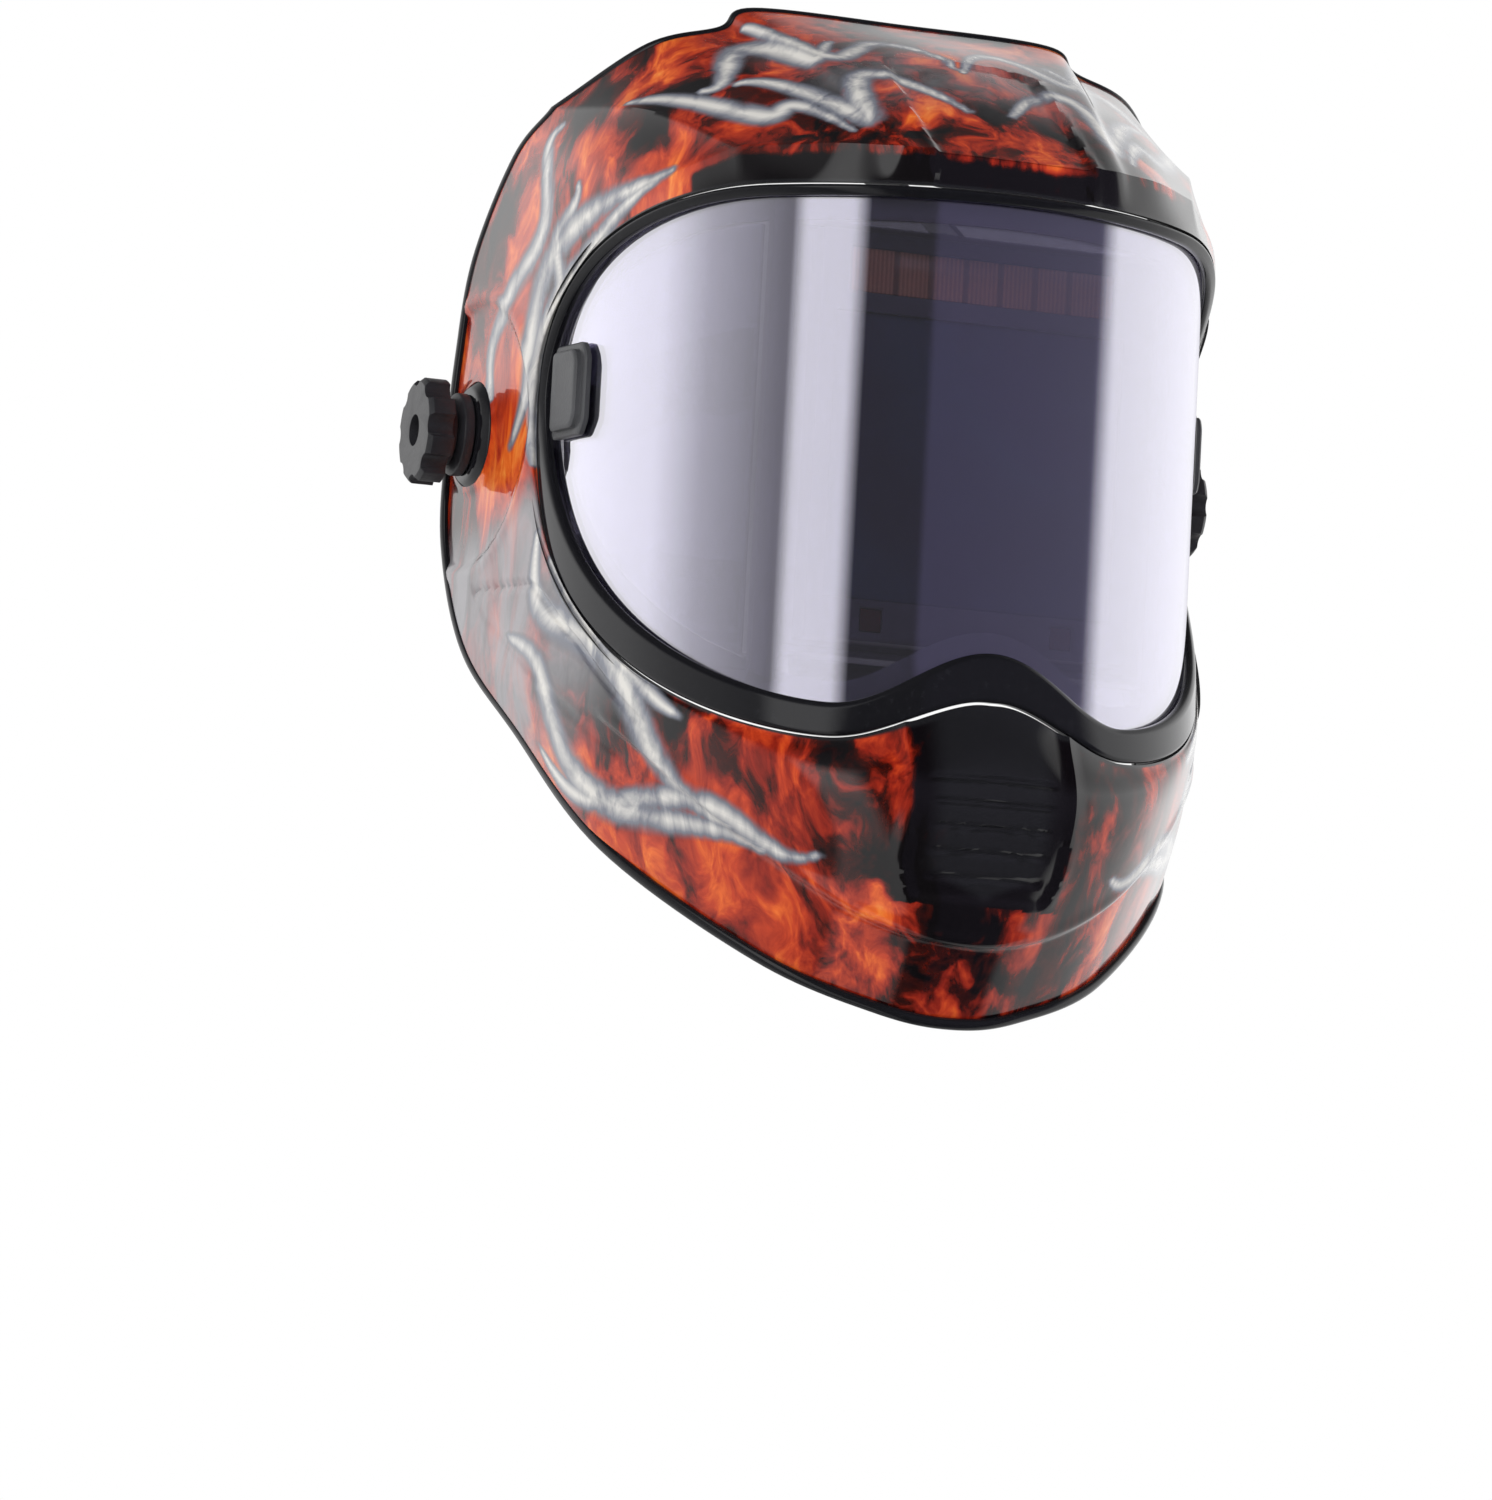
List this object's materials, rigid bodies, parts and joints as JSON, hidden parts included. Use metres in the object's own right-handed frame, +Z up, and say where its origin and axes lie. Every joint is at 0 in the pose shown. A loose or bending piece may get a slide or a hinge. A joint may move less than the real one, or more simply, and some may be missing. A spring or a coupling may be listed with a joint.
{
  "type": "welding helmet",
  "caption": "Auto-darkening welding helmet with a wrap-round visor, a tilting glossy shell and an adjustable ratchet headgear.",
  "frame": {"origin": "midpoint of the tilt axis that runs through the two side tension knobs, which is where the headgear carries the shell, level with the wearer's eyes", "axes": "+X to the wearer's left, -Y the way the face looks, +Z up"},
  "size_m": [0.2848, 0.3135, 0.3407],
  "materials": {
    "shell_paint": "high-gloss printed nylon shell, black ground with a flame pattern",
    "bezel_black": "polished black",
    "visor_clear": "clear polycarbonate with a mirror-like sheen",
    "side_tint": "tinted polycarbonate",
    "filter_dark": "dark coated filter glass",
    "frame_grey": "satin grey nylon",
    "case_black": "fine-grained black ABS",
    "solar_brown": "amorphous solar cell, striped",
    "sensor_red": "dark sensor window",
    "board_green": "circuit board",
    "latch_black": "satin moulded black",
    "knob_black": "satin black nylon",
    "control_grey": "satin grey",
    "button_red": "satin red",
    "switch_white": "satin off-white",
    "cell_steel": "nickel-plated cell can",
    "band_black": "textured polypropylene strap",
    "stud_steel": "zinc-plated steel",
    "insert_brass": "turned brass",
    "washer_black": "matt friction washer",
    "pad_fabric": "padded black fabric with a stitched edge",
    "pinion_white": "acetal"
  },
  "bodies": {
    "headgear": {"headband_front": "band_black", "side_arm_left": "band_black", "side_arm_right": "band_black", "pivot_studs": "stud_steel", "friction_washers": "washer_black", "outer_washers": "knob_black", "crown_strap_left": "band_black", "crown_strap_right": "band_black", "crown_pegs": "band_black", "brow_pad": "pad_fabric"},
    "visor": {"shell": "shell_paint", "window_bezel": "bezel_black", "cover_lens": "visor_clear", "inner_frame": "frame_grey", "side_window_left": "side_tint", "side_window_right": "side_tint", "filter_housing": "case_black", "filter_back_cover": "case_black", "filter_glass": "filter_dark", "lcd_panel": "filter_dark", "solar_cell": "solar_brown", "arc_sensors": "sensor_red", "circuit_board": "board_green", "inner_cover_lens": "visor_clear"},
    "latch_left": {"lens_latch_left": "latch_black"},
    "latch_right": {"lens_latch_right": "latch_black"},
    "shade": {"shade_knob": "control_grey"},
    "sensitivity": {"sensitivity_knob": "control_grey"},
    "delay": {"delay_knob": "control_grey"},
    "test": {"test_button": "button_red"},
    "range": {"range_switch": "switch_white"},
    "battery_left": {"battery_tray_left": "case_black", "battery_cell_left": "cell_steel"},
    "battery_right": {"battery_tray_right": "case_black", "battery_cell_right": "cell_steel"},
    "retainer": {"filter_retainer": "case_black"},
    "stop_lever": {"tilt_stop": "control_grey"},
    "tension_left": {"tension_knob_left": "knob_black", "knob_insert_left": "insert_brass"},
    "tension_right": {"tension_knob_right": "knob_black", "knob_insert_right": "insert_brass"},
    "rear": {"rear_band": "band_black", "rear_pad": "pad_fabric", "ratchet_housing": "case_black", "ratchet_screws": "stud_steel"},
    "ratchet": {"ratchet_knob": "knob_black", "ratchet_pinion": "pinion_white"}
  },
  "joints": [
    {"name": "shell_tilt", "type": "hinge", "parent": "headgear", "child": "visor", "pos_m": [0, 0, 0], "axis": [-1, 0, 0], "range_deg": [0, 80]},
    {"name": "tension_left_turn", "type": "hinge", "parent": "headgear", "child": "tension_left", "pos_m": [0.138, 0, 0], "axis": [1, 0, 0], "range_deg": [-90, 270]},
    {"name": "tension_right_turn", "type": "hinge", "parent": "headgear", "child": "tension_right", "pos_m": [-0.138, 0, 0], "axis": [-1, 0, 0], "range_deg": [-90, 270]},
    {"name": "stop_lever_turn", "type": "hinge", "parent": "headgear", "child": "stop_lever", "pos_m": [-0.1088, 0, 0], "axis": [1, 0, 0], "range_deg": [-12, 12]},
    {"name": "band_adjust", "type": "slide", "parent": "headgear", "child": "rear", "axis": [0, 0.9397, -0.342], "range_m": [-0.008, 0.012]},
    {"name": "ratchet_turn", "type": "hinge", "parent": "rear", "child": "ratchet", "pos_m": [0, 0.10337, -0.03762], "axis": [0, 0.9397, -0.342], "range_deg": [-80, 120]},
    {"name": "latch_left_pull", "type": "slide", "parent": "visor", "child": "latch_left", "axis": [0.9889, -0.1487, 0], "range_m": [0, 0.003]},
    {"name": "latch_right_pull", "type": "slide", "parent": "visor", "child": "latch_right", "axis": [-0.9889, -0.1487, 0], "range_m": [0, 0.003]},
    {"name": "shade_turn", "type": "hinge", "parent": "visor", "child": "shade", "pos_m": [-0.026, -0.122, 0.045], "axis": [0, 1, 0], "range_deg": [0, 270]},
    {"name": "sensitivity_turn", "type": "hinge", "parent": "visor", "child": "sensitivity", "pos_m": [-0.005, -0.122, 0.045], "axis": [0, 1, 0], "range_deg": [0, 270]},
    {"name": "delay_turn", "type": "hinge", "parent": "visor", "child": "delay", "pos_m": [0.012, -0.122, 0.045], "axis": [0, 1, 0], "range_deg": [0, 270]},
    {"name": "test_press", "type": "slide", "parent": "visor", "child": "test", "axis": [0, -1, 0], "range_m": [0, 0.0015], "stiffness_N_per_m": 600, "springref_m": -0.0004},
    {"name": "range_slide", "type": "slide", "parent": "visor", "child": "range", "axis": [-1, 0, 0], "range_m": [0, 0.002]},
    {"name": "battery_left_slide", "type": "slide", "parent": "visor", "child": "battery_left", "axis": [0, 1, 0], "range_m": [0, 0.014]},
    {"name": "battery_right_slide", "type": "slide", "parent": "visor", "child": "battery_right", "axis": [0, 1, 0], "range_m": [0, 0.014]},
    {"name": "retainer_turn", "type": "hinge", "parent": "visor", "child": "retainer", "pos_m": [0, -0.1205, -0.084], "axis": [-1, 0, 0], "range_deg": [0, 80]}
  ],
  "couplings": [
    {"joint": "ratchet_turn", "follows": "band_adjust", "rad_per_m": 166.67}
  ]
}
